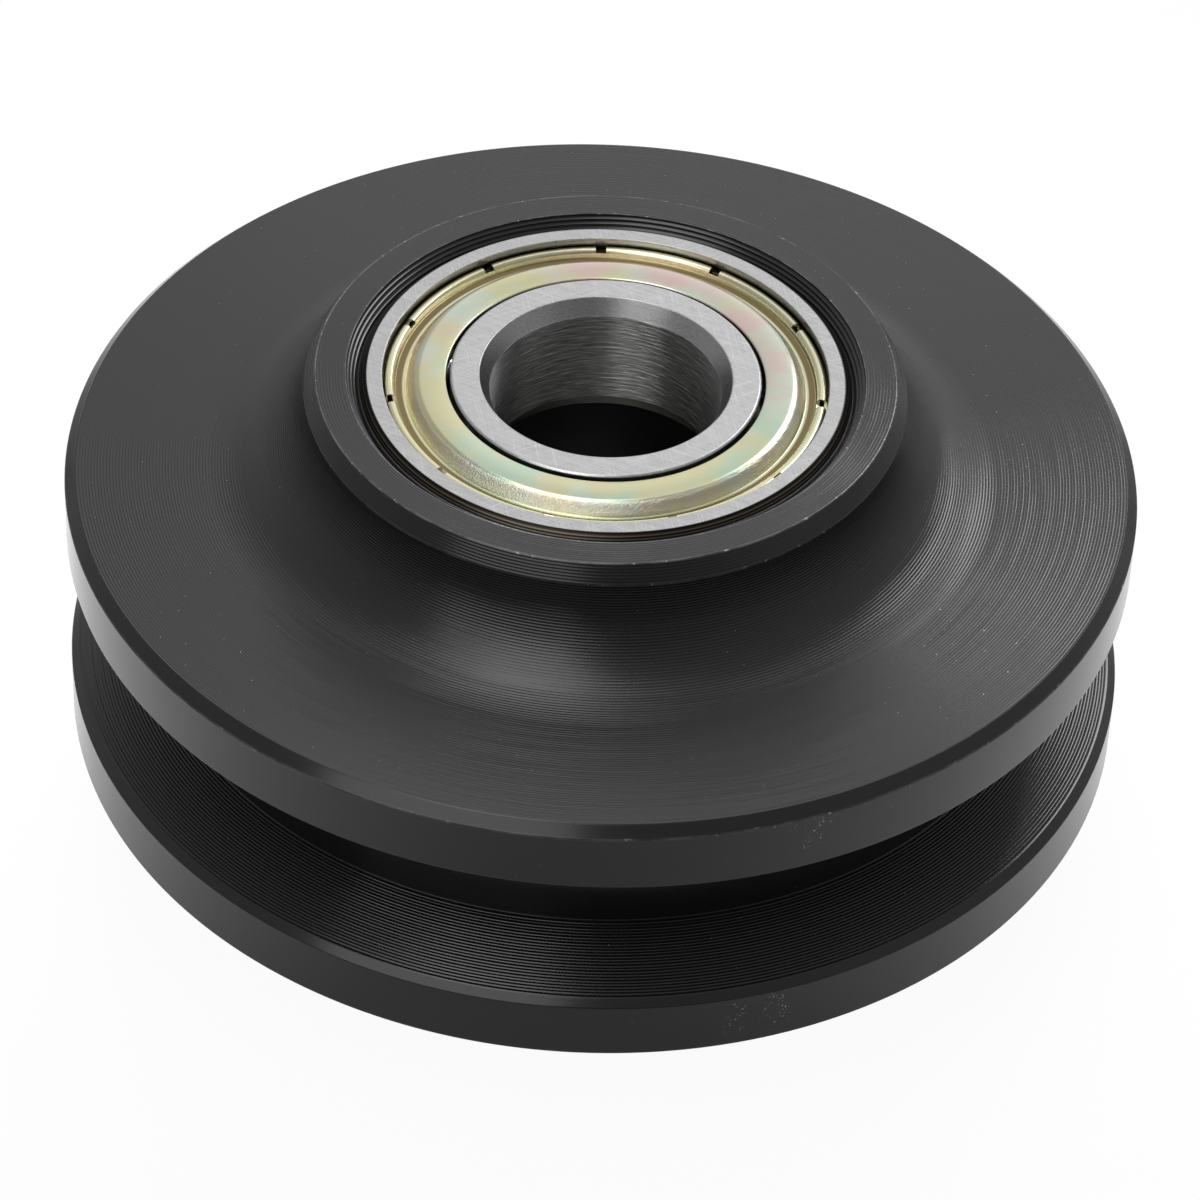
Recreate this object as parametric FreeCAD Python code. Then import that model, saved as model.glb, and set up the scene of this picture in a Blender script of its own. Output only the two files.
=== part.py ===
"""Grooved door roller: a turned plastic wheel that runs on two shielded ball bearings.

The wheel's axis is +Z and the origin is the middle of the wheel, so the two halves mirror
about the XY plane.  Lengths are in millimetres and angles in degrees.
"""

import FreeCAD, Part

import math
import os

# Wheel
WHEEL_RADIUS = 35.0
FLANGE_WIDTH = 20.0
RIM_CHAMFER = 0.7
GROOVE_DEPTH = 5.5
GROOVE_FLOOR_WIDTH = 6.0
GROOVE_FLANK_ANGLE = 20.0
GROOVE_LIP_CHAMFER = 0.5
HUB_RADIUS = 19.5
HUB_WIDTH = 34.6
HUB_CHAMFER_RADIAL = 0.75
HUB_CHAMFER_AXIAL = 1.15
HUB_FILLET = 6.0
POCKET_LEAD_IN_RADIAL = 0.75
POCKET_LEAD_IN_AXIAL = 1.1
WEB_BORE_RADIUS = 13.6

# Bearing, a deep groove ball bearing of 15 x 32 x 9
BEARING_BORE_RADIUS = 7.5
BEARING_RADIUS = 16.0
BEARING_WIDTH = 9.0
BEARING_FACE_BELOW_HUB = 0.3
OUTER_RING_CHAMFER = 0.5
BORE_CHAMFER_RADIAL = 0.67
BORE_CHAMFER_AXIAL = 1.15
INNER_SHOULDER_RADIUS = 10.05
INNER_SHOULDER_CHAMFER = 0.1
OUTER_SHOULDER_RADIUS = 13.65

# Balls and their races
BALL_COUNT = 9
BALL_DIAMETER = 4.762
PITCH_RADIUS = 11.75
RACE_CONFORMITY = 0.52
RACE_PLAY = 0.02

# Shields, pressed from sheet, and the seats in the outer ring that hold them
SHEET = 0.2
SHIELD_INNER_RADIUS = 10.3
SHIELD_FLAT_DEPTH = 0.27
SHIELD_FLAT_RADIUS = 12.25
SHIELD_FLAT_BEND = 0.65
CHANNEL_INNER_RADIUS = 12.9
CHANNEL_INNER_DEPTH = 1.1
CHANNEL_INNER_BEND = 0.2
CHANNEL_OUTER_RADIUS = 13.65
CHANNEL_OUTER_DEPTH = 1.01
CHANNEL_OUTER_BEND = 0.12
BEAD_INNER_RADIUS = 13.78
BEAD_OUTER_RADIUS = 14.2
BEAD_DEPTH = 0.55
BEAD_BEND = 0.2
LIP_RADIUS = 14.25
LIP_END_RADIUS = 14.5
LIP_DEPTH = 1.07
LIP_BEND = 0.13
SEAT_MOUTH_RADIUS = 14.42
SEAT_MOUTH_DEPTH = 0.55
SEAT_GROOVE_RADIUS = 14.62
NOTCH_COUNT = 11
NOTCH_WIDTH = 0.7
NOTCH_PHASE = 93.0
NOTCH_INNER_RADIUS = 13.58
NOTCH_TOP_DEPTH = 0.2
NOTCH_INNER_DEPTH = 0.69
NOTCH_OUTER_DEPTH = 0.94

# Cage of two pressed halves, riveted between the balls
CAGE_INNER_RADIUS = 10.8
CAGE_OUTER_RADIUS = 12.7
CAGE_SHEET = 0.4
POCKET_PLAY = 0.05
RIVET_RADIUS = 0.45
RIVET_HEAD_RADIUS = 0.8
RIVET_HEAD_HEIGHT = 0.3

CENTRE = FreeCAD.Vector(0, 0, 0)
AXIS = FreeCAD.Vector(0, 0, 1)
FULL_TURN = 360.0
BALL_RADIUS = BALL_DIAMETER / 2
BALL_PITCH_ANGLE = FULL_TURN / BALL_COUNT
HALF_BEARING = BEARING_WIDTH / 2
BEARING_FACE_Z = HUB_WIDTH / 2 - BEARING_FACE_BELOW_HUB
BEARING_MIDDLE_Z = BEARING_FACE_Z - HALF_BEARING


def at(radius, height):
    """A point of a turned section: its distance from the axis and its height."""
    return FreeCAD.Vector(radius, 0, height)


def run(start, *steps):
    """Edges from start through each step: an end point, or a (middle, end) pair for an arc."""
    edges = []
    here = start
    for step in steps:
        if isinstance(step, tuple):
            middle, end = step
            edges.append(Part.Arc(here, middle, end).toShape())
        else:
            end = step
            edges.append(Part.LineSegment(here, end).toShape())
        here = end
    return edges


def turned(edges):
    """The solid that a closed section sweeps round the axis."""
    section = Part.Face(Part.Wire(Part.sortEdges(edges)[0]))
    return section.revolve(CENTRE, AXIS, FULL_TURN)


def turned_with_mirror(edges):
    """The solid of a half section that starts and ends on the middle plane, with its mirror half."""
    mirrored = [edge.mirror(CENTRE, AXIS) for edge in edges]
    return turned(edges + mirrored).removeSplitter()


def turned_about(centre, solid, angle):
    """A copy of a solid, turned about the axis direction through a point."""
    copy = solid.copy()
    copy.rotate(centre, AXIS, angle)
    return copy


def wheel_body():
    """The wheel: two flanges, a groove between them and a hub with a bearing pocket at each end."""
    floor_radius = WHEEL_RADIUS - GROOVE_DEPTH
    floor_z = GROOVE_FLOOR_WIDTH / 2
    lip_radius = WHEEL_RADIUS - GROOVE_LIP_CHAMFER
    lip_z = floor_z + (lip_radius - floor_radius) * math.tan(math.radians(GROOVE_FLANK_ANGLE))
    flange_z = FLANGE_WIDTH / 2
    hub_z = HUB_WIDTH / 2
    fillet_centre = at(HUB_RADIUS + HUB_FILLET, flange_z + HUB_FILLET)
    fillet_reach = HUB_FILLET * math.sqrt(0.5)
    fillet_middle = fillet_centre - at(fillet_reach, fillet_reach)
    return turned_with_mirror(
        run(
            at(floor_radius, 0),
            at(floor_radius, floor_z),
            at(lip_radius, lip_z),
            at(WHEEL_RADIUS, lip_z + GROOVE_LIP_CHAMFER),
            at(WHEEL_RADIUS, flange_z - RIM_CHAMFER),
            at(WHEEL_RADIUS - RIM_CHAMFER, flange_z),
            at(fillet_centre.x, flange_z),
            (fillet_middle, at(HUB_RADIUS, fillet_centre.z)),
            at(HUB_RADIUS, hub_z - HUB_CHAMFER_AXIAL),
            at(HUB_RADIUS - HUB_CHAMFER_RADIAL, hub_z),
            at(BEARING_RADIUS + POCKET_LEAD_IN_RADIAL, hub_z),
            at(BEARING_RADIUS, hub_z - POCKET_LEAD_IN_AXIAL),
            at(BEARING_RADIUS, BEARING_FACE_Z - BEARING_WIDTH),
            at(WEB_BORE_RADIUS, BEARING_FACE_Z - BEARING_WIDTH),
            at(WEB_BORE_RADIUS, 0),
        )
    )


def race(side, shoulder_radius):
    """The half arc of a race from its bottom to its shoulder, as start, middle and end points.

    side is +1 for the outer ring, whose race lies outside the balls, and -1 for the inner ring.
    """
    groove_radius = RACE_CONFORMITY * BALL_DIAMETER
    bottom_radius = PITCH_RADIUS + side * (BALL_RADIUS + RACE_PLAY)
    centre_radius = bottom_radius - side * groove_radius
    half_angle = math.acos(side * (shoulder_radius - centre_radius) / groove_radius)

    def on_arc(angle):
        return at(centre_radius + side * groove_radius * math.cos(angle), groove_radius * math.sin(angle))

    return on_arc(0), on_arc(half_angle / 2), on_arc(half_angle)


def outer_ring():
    """The outer ring, with its race and a stepped seat for a shield at each face."""
    bottom, middle, shoulder = race(+1, OUTER_SHOULDER_RADIUS)
    seat_floor_z = HALF_BEARING - LIP_DEPTH - SHEET / 2
    mouth_z = HALF_BEARING - SEAT_MOUTH_DEPTH
    return turned_with_mirror(
        run(
            bottom,
            (middle, shoulder),
            at(OUTER_SHOULDER_RADIUS, seat_floor_z),
            at(SEAT_GROOVE_RADIUS, seat_floor_z),
            at(SEAT_GROOVE_RADIUS, mouth_z),
            at(SEAT_MOUTH_RADIUS, mouth_z),
            at(SEAT_MOUTH_RADIUS, HALF_BEARING),
            at(BEARING_RADIUS - OUTER_RING_CHAMFER, HALF_BEARING),
            at(BEARING_RADIUS, HALF_BEARING - OUTER_RING_CHAMFER),
            at(BEARING_RADIUS, 0),
        )
    )


def inner_ring():
    """The inner ring, with its race outside and the chamfered axle bore inside."""
    bottom, middle, shoulder = race(-1, INNER_SHOULDER_RADIUS)
    return turned_with_mirror(
        run(
            bottom,
            (middle, shoulder),
            at(INNER_SHOULDER_RADIUS, HALF_BEARING - INNER_SHOULDER_CHAMFER),
            at(INNER_SHOULDER_RADIUS - INNER_SHOULDER_CHAMFER, HALF_BEARING),
            at(BEARING_BORE_RADIUS + BORE_CHAMFER_RADIAL, HALF_BEARING),
            at(BEARING_BORE_RADIUS, HALF_BEARING - BORE_CHAMFER_AXIAL),
            at(BEARING_BORE_RADIUS, 0),
        )
    )


def rounded_run(corners, bends):
    """Edges along straight runs from corner to corner, with a tangent arc at each inner corner."""
    start = corners[0]
    steps = []
    for before, corner, after, bend in zip(corners, corners[1:], corners[2:], bends):
        arriving = (corner - before).normalize()
        leaving = (after - corner).normalize()
        half_turn = arriving.getAngle(leaving) / 2
        inward = (leaving - arriving).normalize()
        tangent = bend * math.tan(half_turn)
        steps.append(corner - arriving * tangent)
        arc_middle = corner + inward * (bend / math.cos(half_turn) - bend)
        steps.append((arc_middle, corner + leaving * tangent))
    return run(start, *steps, corners[-1])


def offset_corners(corners, bends, distance):
    """The corners and bends of a line that runs beside another one, to its left if distance > 0."""
    across = FreeCAD.Vector(0, 1, 0)
    runs = [(end - start).normalize() for start, end in zip(corners, corners[1:])]
    lefts = [direction.cross(across) for direction in runs]
    moved = [corners[0] + lefts[0] * distance]
    moved_bends = []
    for corner, bend, before, after in zip(corners[1:], bends, lefts, lefts[1:]):
        moved.append(corner + (before + after) * (distance / (1 + before.dot(after))))
        turns_left = before.cross(after).dot(across) < 0
        moved_bends.append(bend - distance if turns_left else bend + distance)
    moved.append(corners[-1] + lefts[-1] * distance)
    return moved, moved_bends


def notch_block(inner_radius, outer_radius, depth):
    """The block on +X that a notch takes out of the bead between two radii, down to a depth."""
    corner = FreeCAD.Vector(inner_radius, -NOTCH_WIDTH / 2, HALF_BEARING - depth)
    return Part.makeBox(outer_radius - inner_radius, NOTCH_WIDTH, depth - NOTCH_TOP_DEPTH, corner)


def shield():
    """A shield at the bearing's upper face: a flat ring, a channel and a notched bead on a lip."""
    corners = [
        at(SHIELD_INNER_RADIUS, HALF_BEARING - SHIELD_FLAT_DEPTH),
        at(SHIELD_FLAT_RADIUS, HALF_BEARING - SHIELD_FLAT_DEPTH),
        at(CHANNEL_INNER_RADIUS, HALF_BEARING - CHANNEL_INNER_DEPTH),
        at(CHANNEL_OUTER_RADIUS, HALF_BEARING - CHANNEL_OUTER_DEPTH),
        at(BEAD_INNER_RADIUS, HALF_BEARING - BEAD_DEPTH),
        at(BEAD_OUTER_RADIUS, HALF_BEARING - BEAD_DEPTH),
        at(LIP_RADIUS, HALF_BEARING - LIP_DEPTH),
        at(LIP_END_RADIUS, HALF_BEARING - LIP_DEPTH),
    ]
    bends = [SHIELD_FLAT_BEND, CHANNEL_INNER_BEND, CHANNEL_OUTER_BEND, BEAD_BEND, BEAD_BEND, LIP_BEND]
    upper, upper_bends = offset_corners(corners, bends, SHEET / 2)
    lower, lower_bends = offset_corners(corners, bends, -SHEET / 2)
    section = rounded_run(upper, upper_bends) + rounded_run(lower, lower_bends)
    section += run(upper[0], lower[0]) + run(upper[-1], lower[-1])
    pressing = turned(section)

    crown_radius = (BEAD_INNER_RADIUS + BEAD_OUTER_RADIUS) / 2
    inner_cut = notch_block(NOTCH_INNER_RADIUS, crown_radius, NOTCH_INNER_DEPTH)
    outer_cut = notch_block(crown_radius, SEAT_GROOVE_RADIUS, NOTCH_OUTER_DEPTH)
    notch = inner_cut.fuse(outer_cut)
    pitch = FULL_TURN / NOTCH_COUNT
    notches = [turned_about(CENTRE, notch, NOTCH_PHASE + pitch * index) for index in range(NOTCH_COUNT)]
    return pressing.cut(Part.makeCompound(notches))


def ball_centre(index):
    """The centre of a ball in the bearing's middle plane; the first one lies on +X."""
    angle = math.radians(BALL_PITCH_ANGLE * index)
    return FreeCAD.Vector(PITCH_RADIUS * math.cos(angle), PITCH_RADIUS * math.sin(angle), 0)


def rivet_place(solid, index):
    """A copy of a solid, modelled on +X, at the tab midway between two balls."""
    return turned_about(CENTRE, solid, BALL_PITCH_ANGLE * (index + 0.5))


def ring_band(height):
    """The ring of space that the cage keeps to, from the middle plane up to a height."""
    outer = Part.makeCylinder(CAGE_OUTER_RADIUS, height)
    return outer.cut(Part.makeCylinder(CAGE_INNER_RADIUS, height))


def cage_half():
    """The upper half of the cage: flat tabs with rivet holes, and a domed pocket over each ball."""
    pocket_radius = BALL_RADIUS + POCKET_PLAY
    dome_radius = pocket_radius + CAGE_SHEET
    centres = [ball_centre(index) for index in range(BALL_COUNT)]
    domes = [Part.makeSphere(dome_radius, centre) for centre in centres]
    hollows = [Part.makeSphere(pocket_radius, centre) for centre in centres]
    hole = Part.makeCylinder(RIVET_RADIUS, CAGE_SHEET, at(PITCH_RADIUS, 0))
    holes = [rivet_place(hole, index) for index in range(BALL_COUNT)]
    pockets = ring_band(dome_radius).common(Part.makeCompound(domes))
    blank = ring_band(CAGE_SHEET).fuse(pockets)
    return blank.cut(Part.makeCompound(hollows)).cut(Part.makeCompound(holes)).removeSplitter()


def cage_rivets():
    """The rivets that hold the cage's halves together, each with a domed head at both ends."""
    crown_z = CAGE_SHEET + RIVET_HEAD_HEIGHT
    bulge = at(RIVET_HEAD_RADIUS * math.sqrt(0.5), CAGE_SHEET + RIVET_HEAD_HEIGHT * math.sqrt(0.5))
    half_section = run(
        at(0, 0),
        at(0, crown_z),
        (bulge, at(RIVET_HEAD_RADIUS, CAGE_SHEET)),
        at(RIVET_RADIUS, CAGE_SHEET),
        at(RIVET_RADIUS, 0),
        at(0, 0),
    )
    half = turned(half_section)
    rivet = half.fuse(half.mirror(CENTRE, AXIS)).removeSplitter()
    rivet.translate(at(PITCH_RADIUS, 0))
    return Part.makeCompound([rivet_place(rivet, index) for index in range(BALL_COUNT)])


def bearing_pieces():
    """Every piece of one bearing by name, about its own middle, with its front face up."""
    front_shield = shield()
    cage_top = cage_half()
    pieces = {
        "outer_ring": outer_ring(),
        "inner_ring": inner_ring(),
        "front_shield": front_shield,
        "rear_shield": front_shield.mirror(CENTRE, AXIS),
        "cage_front_half": cage_top,
        "cage_rear_half": cage_top.mirror(CENTRE, AXIS),
        "cage_rivets": cage_rivets(),
    }
    for index in range(BALL_COUNT):
        pieces[f"ball_{index + 1}"] = Part.makeSphere(BALL_RADIUS, ball_centre(index))
    return pieces


def roller_pieces():
    """Every piece of the roller by node name, in place."""
    pieces = {"wheel_body": wheel_body()}
    for name, piece in bearing_pieces().items():
        upper = piece.copy()
        upper.translate(FreeCAD.Vector(0, 0, BEARING_MIDDLE_Z))
        pieces[f"upper_{name}"] = upper
        pieces[f"lower_{name}"] = upper.mirror(CENTRE, AXIS)
    return pieces


os.makedirs("parts", exist_ok=True)
for node, shape in roller_pieces().items():
    shape.exportStep(f"parts/{node}.step")
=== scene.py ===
"""Looks of a grooved door roller: a turned black wheel that runs on two shielded ball bearings.

The sizes that the classes hold are millimetres in the roller's own frame, with the axle along +Z
and the origin in the middle of the wheel. Meshes are made in metres, as the frame is.
"""

import logging
import math
from dataclasses import dataclass, field, replace
from enum import Enum
from typing import Any, Sequence

import bpy
import numpy as np
from mathutils import Matrix, Vector


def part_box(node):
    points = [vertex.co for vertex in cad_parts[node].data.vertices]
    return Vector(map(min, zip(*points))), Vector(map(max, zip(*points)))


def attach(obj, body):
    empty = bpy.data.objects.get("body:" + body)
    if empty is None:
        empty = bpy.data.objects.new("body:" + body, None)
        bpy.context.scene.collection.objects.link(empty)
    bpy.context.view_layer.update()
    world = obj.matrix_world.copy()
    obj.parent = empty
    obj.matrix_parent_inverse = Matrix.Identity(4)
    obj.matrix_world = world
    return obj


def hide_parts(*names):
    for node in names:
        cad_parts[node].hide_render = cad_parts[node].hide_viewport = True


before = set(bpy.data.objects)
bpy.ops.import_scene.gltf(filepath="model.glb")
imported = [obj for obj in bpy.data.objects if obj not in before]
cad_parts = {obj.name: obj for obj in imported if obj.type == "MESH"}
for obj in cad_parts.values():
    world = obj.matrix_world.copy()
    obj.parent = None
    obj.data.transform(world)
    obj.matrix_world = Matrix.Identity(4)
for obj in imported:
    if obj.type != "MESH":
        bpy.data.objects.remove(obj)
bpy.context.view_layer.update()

log = logging.getLogger("roller")

MM = 0.001
FULL_TURN = 2 * math.pi

# How turned sections are cut into rows, with angles in radians and lengths in millimetres.
STRAIGHT = 1e-3
ARC_STEP = math.radians(15)
LEAST_ARC_STEPS = 2
LARGE_ROUNDING = 1.0
LARGE_ARC_FACTOR = 4
SUPPORT = 0.08
LEAST_RUN = 3 * SUPPORT

# Edges that turn by more than this are shaded sharp.
SHARP_ANGLE = math.radians(50)
# A shield's sectors merge within this share of the sheet's thickness.
MERGE_SHARE = 0.01
# Most of the noise lies in this range.
NOISE_RANGE = (0.3, 0.7)
# A light above this elevation, in degrees, lies along the floor's depth and doesn't stand upright.
OVERHEAD = 60.0

# The vertex attributes that the finishes and the ridges read.
PATH = "section_path"
WORKED = "worked"
BURR = "burr"
RIDGE_PHASE = "ridge_phase"
RIDGE_SHARE = "ridge_share"

Socket = bpy.types.NodeSocket
Value = Any
Colour = tuple[float, float, float]


class Side(Enum):
    """The end of the wheel that a bearing sits in, with the way its front faces."""

    UPPER = 1
    LOWER = -1

    def name_of(self, piece: str) -> str:
        """The frame's name for one of this side's pieces or bodies."""
        return f"{self.name.lower()}_{piece}"


class Slot(Enum):
    """The record's material slots."""

    NYLON = "black_nylon"
    RING = "ground_steel"
    SHIELD = "yellow_zinc"
    BALL = "ball_steel"
    CAGE = "cage_steel"


@dataclass(frozen=True)
class Ridges:
    """The ridges that a coarse tool leaves across a run.

    Attributes:
        count: Their number.
        share: Their depth as a share of the turned piece's ridge depth.
        rows: The rows of vertices for each one.
    """

    count: int
    share: float = 1.0
    rows: int = 2


@dataclass(frozen=True)
class Corner:
    """A corner of a turned section, and how the run after it is made.

    Attributes:
        radius: Distance from the axle's axis.
        height: Height above the section's middle plane.
        rounding: Radius of the arc at the corner.
        ridges: The tool ridges across the run after the corner, if it has any.
        worked: How strongly the arc and the run carry the marks of the finish, 0 for not at all.
        finish: Index of the run's material.
        burr: How far the arc carries flecks of burr, from 0 to 1.
    """

    radius: float
    height: float
    rounding: float = 0.05
    ridges: Ridges | None = None
    worked: float = 0.0
    finish: int = 0
    burr: float = 0.0

    @property
    def place(self) -> np.ndarray:
        """The corner's radius and height as a vector."""
        return np.array([self.radius, self.height])


@dataclass(frozen=True)
class Row:
    """One ring of vertices of a turned mesh, by its place in the section and its marks."""

    radius: float
    height: float
    worked: float = 0.0
    finish: int = 0
    burr: float = 0.0
    ridge_phase: float = 0.0
    ridge_share: float = 0.0

    @property
    def crest(self) -> bool:
        """Whether the row is the sharp crest between two tool ridges."""
        return self.ridge_share > 0 and self.ridge_phase % 1 == 0


def unit(vector: np.ndarray) -> np.ndarray:
    """The vector at length one."""
    return vector / np.linalg.norm(vector)


def corner_arc(before: np.ndarray, corner: Corner, after: np.ndarray) -> list[np.ndarray]:
    """The points of a corner's arc, tangent to the runs on both sides of it.

    Args:
        before: A point on the run that arrives.
        corner: The corner to round.
        after: A point on the run that leaves.

    Returns:
        The arc's points in order, or the corner alone where it has no rounding.
    """
    arriving = unit(corner.place - before)
    leaving = unit(after - corner.place)
    turn = math.acos(float(np.clip(arriving @ leaving, -1, 1)))
    if corner.rounding == 0 or turn < STRAIGHT:
        return [corner.place]
    start = corner.place - arriving * corner.rounding * math.tan(turn / 2)
    centre = corner.place + unit(leaving - arriving) * corner.rounding / math.cos(turn / 2)
    signed_turn = math.copysign(turn, arriving[0] * leaving[1] - arriving[1] * leaving[0])
    steps = max(LEAST_ARC_STEPS, math.ceil(turn / ARC_STEP))
    if corner.rounding > LARGE_ROUNDING:
        steps *= LARGE_ARC_FACTOR
    points = []
    for step in range(steps + 1):
        angle = signed_turn * step / steps
        spin = np.array([[math.cos(angle), -math.sin(angle)], [math.sin(angle), math.cos(angle)]])
        points.append(centre + spin @ (start - centre))
    return points


def run_rows(start: np.ndarray, end: np.ndarray, corner: Corner) -> list[Row]:
    """The rows inside a straight run: its tool ridges, or a row close to each end.

    Args:
        start: Where the run leaves its first corner's arc.
        end: Where it meets the next corner's arc.
        corner: The corner before the run, which says how it is made.

    Returns:
        The rows between the two ends.
    """
    ridges = corner.ridges
    if ridges:
        phases = [step / ridges.rows for step in range(1, ridges.count * ridges.rows)]
        places = [start + (end - start) * phase / ridges.count for phase in phases]
        return [
            Row(*place, corner.worked, corner.finish, 0.0, phase, ridges.share)
            for place, phase in zip(places, phases)
        ]
    length = float(np.linalg.norm(end - start))
    if length < LEAST_RUN:
        return []
    near = SUPPORT / length
    return [
        Row(*(start + (end - start) * share), corner.worked, corner.finish) for share in (near, 1 - near)
    ]


def section_rows(corners: Sequence[Corner]) -> list[Row]:
    """The rows of a closed section with rounded corners.

    Args:
        corners: The section's corners in order.

    Returns:
        The rows in the same order.
    """
    count = len(corners)
    arcs = [
        corner_arc(corners[index - 1].place, corner, corners[(index + 1) % count].place)
        for index, corner in enumerate(corners)
    ]
    rows = []
    for index, corner in enumerate(corners):
        rows += [Row(*point, corner.worked, corner.finish, corner.burr) for point in arcs[index]]
        rows += run_rows(arcs[index][-1], arcs[(index + 1) % count][0], corner)
    return rows


def with_mirror(corners: Sequence[Corner]) -> list[Corner]:
    """The corners of the upper half of a section, followed by their mirror images.

    Args:
        corners: The upper half's corners, from the middle plane round to the middle plane.

    Returns:
        The corners of the whole closed section.
    """
    runs_before = [corners[-1], *corners[:-1]]
    lower = [
        replace(corner, height=-corner.height, ridges=run.ridges, worked=run.worked, finish=run.finish)
        for corner, run in zip(reversed(corners), reversed(runs_before))
    ]
    return [*corners, *lower]


def set_attribute(mesh: bpy.types.Mesh, name: str, values: np.ndarray) -> None:
    """Stores one number for each vertex of a mesh under a name."""
    attribute = mesh.attributes.new(name, "FLOAT", "POINT")
    attribute.data.foreach_set("value", values.astype(np.float32))


def turned_mesh(name: str, rows: Sequence[Row], segments: int, lift: float = 0.0) -> bpy.types.Mesh:
    """The closed mesh that a section sweeps round the axle's axis.

    Args:
        name: The mesh's name.
        rows: The closed section, row by row.
        segments: The number of facets in a full turn.
        lift: Height added to every row.

    Returns:
        The mesh, with the rows' marks as vertex attributes.
    """
    radius = np.array([row.radius for row in rows])
    height = np.array([row.height for row in rows]) + lift
    turns_left = np.sum(radius * np.roll(height, -1) - np.roll(radius, -1) * height) > 0
    angle = np.arange(segments) * FULL_TURN / segments
    points = np.stack(
        [
            np.outer(radius, np.cos(angle)),
            np.outer(radius, np.sin(angle)),
            np.repeat(height[:, None], segments, axis=1),
        ],
        axis=-1,
    )
    index = np.arange(len(rows) * segments).reshape(len(rows), segments)
    beside = np.roll(index, -1, axis=1)
    above = np.roll(index, -1, axis=0)
    across = np.roll(beside, -1, axis=0)
    order = [index, beside, across, above] if turns_left else [index, above, across, beside]
    faces = np.stack(order, axis=-1).reshape(-1, 4)

    mesh = bpy.data.meshes.new(name)
    mesh.from_pydata((points.reshape(-1, 3) * MM).tolist(), [], faces.tolist())
    steps = np.hypot(np.diff(radius), np.diff(height))
    path = np.concatenate([[0.0], np.cumsum(steps)])
    set_attribute(mesh, PATH, np.repeat(path, segments))
    set_attribute(mesh, WORKED, np.repeat([row.worked for row in rows], segments))
    set_attribute(mesh, BURR, np.repeat([row.burr for row in rows], segments))
    set_attribute(mesh, RIDGE_PHASE, np.repeat([row.ridge_phase for row in rows], segments))
    set_attribute(mesh, RIDGE_SHARE, np.repeat([row.ridge_share for row in rows], segments))
    mesh.shade_smooth()
    ends = np.zeros(2 * len(mesh.edges), dtype=np.int32)
    mesh.edges.foreach_get("vertices", ends)
    end_rows = ends.reshape(-1, 2) // segments
    crests = np.array([row.crest for row in rows])
    sharp = (end_rows[:, 0] == end_rows[:, 1]) & crests[end_rows[:, 0]]
    mesh.attributes.new("sharp_edge", "BOOLEAN", "EDGE").data.foreach_set("value", sharp)
    finishes = np.array([row.finish for row in rows], dtype=np.int32)
    mesh.polygons.foreach_set("material_index", np.repeat(finishes, segments))
    return mesh


class NodeTree:
    """A node tree under construction, with helpers for the nodes that any kind of tree can have."""

    def __init__(self, tree: bpy.types.NodeTree) -> None:
        """Takes up a tree.

        Args:
            tree: The tree to add nodes to.
        """
        self.tree = tree

    def add(self, kind: str, inputs: dict[Any, Value] | None = None, **settings: Any) -> bpy.types.Node:
        """Adds a node.

        Args:
            kind: The node's type.
            inputs: Values or sockets for its inputs, by name or index.
            settings: The node's own properties.

        Returns:
            The new node.
        """
        node = self.tree.nodes.new(kind)
        for name, setting in settings.items():
            setattr(node, name, setting)
        for name, value in (inputs or {}).items():
            if isinstance(value, Socket):
                self.tree.links.new(value, node.inputs[name])
            else:
                node.inputs[name].default_value = value
        return node

    def math(self, operation: str, *values: Value) -> Socket:
        """The result of a sum on numbers or sockets."""
        return self.add("ShaderNodeMath", dict(enumerate(values)), operation=operation).outputs[0]

    def vector(self, x: Value = 0.0, y: Value = 0.0, z: Value = 0.0) -> Socket:
        """A vector made of three numbers or sockets."""
        return self.add("ShaderNodeCombineXYZ", {0: x, 1: y, 2: z}).outputs[0]

    def scaled(self, vector: Value, scale: Value) -> Socket:
        """A vector or a colour times a number."""
        inputs = {0: vector, "Scale": scale}
        return self.add("ShaderNodeVectorMath", inputs, operation="SCALE").outputs[0]

    def between(
        self, value: Value, low: float, high: float, to_low: float = 0.0, to_high: float = 1.0
    ) -> Socket:
        """A value mapped from one range to another, and held at the ends.

        Args:
            value: The number to map.
            low: The value that gives to_low.
            high: The value that gives to_high.
            to_low: The result at low.
            to_high: The result at high.

        Returns:
            The mapped number.
        """
        inputs = {"Value": value, "From Min": low, "From Max": high, "To Min": to_low, "To Max": to_high}
        return self.add("ShaderNodeMapRange", inputs, interpolation_type="SMOOTHSTEP").outputs[0]


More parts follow.
